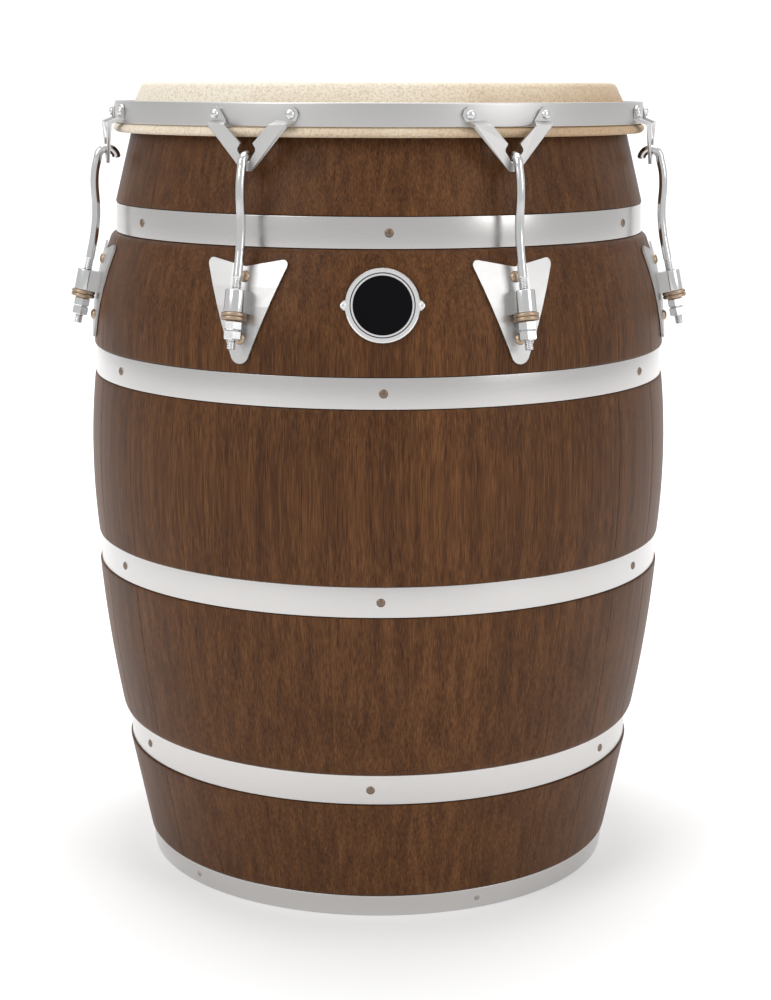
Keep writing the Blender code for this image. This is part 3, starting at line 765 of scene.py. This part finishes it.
badge = dict(
    bearing=0.9,
    z=518.0,
    lift=0.3,
    field=((0, 2.2, 0), (23.1, 2.2, 0.2), (23.1, 1.85, 0), (0, 1.85, 0)),
    rimLine=((25.4, 2.72, 0.05), (25.4, 2.5, 0), (24.6, 2.5, 0), (24.6, 2.72, 0.05)),
    screwRadius=2.5,
    screwHeight=1.0,
    screwAcross=30.4,
    screwLift=1.5,
)
badgeR = shellRadius(badge["z"]) + badge["lift"]
badgePlace = outwards(badgeR, badge["z"], badge["bearing"], shellTilt(badge["z"]))
badgeNode = nodes["badge_plate"]
badgeNode.data.materials.clear()
badgeNode.data.materials.append(badgeSteel)
fieldMesh = turnedMesh("field", roundedProfile(badge["field"], False), closed=False, sides=96)
rimMesh = turnedMesh("line", roundedProfile(badge["rimLine"], True), sides=96)
badgeFace = joined("badgeField", [(fieldMesh, badgePlace, 0), (rimMesh, badgePlace, 0)])
addPiece("badgeField", badgeFace, [blackField], "root")
badgeScrew = crossScrew("badgeScrew", badge["screwRadius"], badge["screwHeight"])
badgeParts = []
for side in (-1, 1):
    spot = Matrix.Translation((side * badge["screwAcross"] * mm, 0, badge["screwLift"] * mm))
    badgeParts += screwParts(badgeScrew, badgePlace @ spot)
addPiece("badgeScrews", joined("badgeScrews", badgeParts), [badgeSteel, slotShade], "root")
print("stage: badge")

# Floor, backdrop, light and camera, in metres

backdropSizes = dict(
    colour=(0.93, 0.93, 0.93),
    roughness=0.8,
    half=9.0,
    front=-6.0,
    bendY=5.0,
    bend=2.5,
    bendRows=24,
    top=8.0,
)


# A floor that bends up into a wall: y = bendY + bend sin a, z = bend - bend cos a
def addBackdrop():
    sizes = backdropSizes
    bend = sizes["bend"]
    across = np.linspace(-sizes["half"], sizes["half"], 3)
    sweep = np.radians(np.linspace(0.0, 90.0, sizes["bendRows"]))[1:]
    floorY = (sizes["front"], 0.0, sizes["bendY"])
    backY = np.concatenate((floorY, sizes["bendY"] + bend * np.sin(sweep), (sizes["bendY"] + bend,)))
    backZ = np.concatenate(((0.0, 0.0, 0.0), bend - bend * np.cos(sweep), (sizes["top"],)))
    points = np.stack(np.broadcast_arrays(across[None], backY[:, None], backZ[:, None]), axis=-1)
    index = np.arange(len(backY) * len(across)).reshape(len(backY), len(across))
    quads = np.stack((index[:-1, :-1], index[:-1, 1:], index[1:, 1:], index[1:, :-1]), axis=-1)
    mesh = bpy.data.meshes.new("backdrop")
    mesh.from_pydata(points.reshape(-1, 3).tolist(), [], quads.reshape(-1, 4).tolist())
    mesh.shade_smooth()
    mesh.materials.append(newMaterial("paleFloor", sizes["colour"], sizes["roughness"])[0])
    backdrop = bpy.data.objects.new("backdrop", mesh)
    bpy.context.scene.collection.objects.link(backdrop)


# A rectangle of light at its place, turned to face its target
def areaLight(name, location, target, size, power):
    data = bpy.data.lights.new(name, "AREA")
    data.shape = "RECTANGLE"
    data.size, data.size_y = size
    data.energy = power
    obj = bpy.data.objects.new(name, data)
    obj.location = location
    obj.rotation_euler = (Vector(target) - Vector(location)).to_track_quat("-Z", "Y").to_euler()
    bpy.context.scene.collection.objects.link(obj)


addBackdrop()
# Name, place, target, size and power in watts
lightRows = (
    ("keyLight", (-2.4, -2.2, 2.6), (0, 0, 0.4), (1.8, 2.2), 44.0),
    ("fillLight", (2.6, -2.0, 1.8), (0, 0, 0.4), (1.4, 2.2), 26.0),
    ("topLight", (0.0, 0.4, 3.4), (0, 0, 0.4), (3.0, 3.0), 50.0),
    ("backWash", (0.0, 2.5, 4.2), (0, 5.5, 0.8), (6.0, 2.0), 180.0),
)
for row in lightRows:
    areaLight(*row)
world = bpy.data.worlds.new("studio")
world.use_nodes = True
world.node_tree.nodes["Background"].inputs["Color"].default_value = (1.0, 1.0, 1.0, 1.0)
world.node_tree.nodes["Background"].inputs["Strength"].default_value = 0.74
bpy.context.scene.world = world
bpy.context.scene.view_settings.view_transform = "Standard"

# Pitch is measured from straight down, and roll turns the camera about its line of sight
view = dict(place=(0.0065, -1.7817, 0.6834), pitch=78.244, roll=0.141, lens=71.59, sensor=36.0, far=60.0)
cameraData = bpy.data.cameras.new("camera")
cameraData.lens = view["lens"]
cameraData.sensor_width = view["sensor"]
cameraData.clip_end = view["far"]
camera = bpy.data.objects.new("camera", cameraData)
camera.location = view["place"]
pitch = Matrix.Rotation(math.radians(view["pitch"]), 4, "X")
roll = Matrix.Rotation(math.radians(view["roll"]), 4, "Z")
camera.rotation_euler = (pitch @ roll).to_euler()
bpy.context.scene.collection.objects.link(camera)
bpy.context.scene.camera = camera
print("stage: studio")
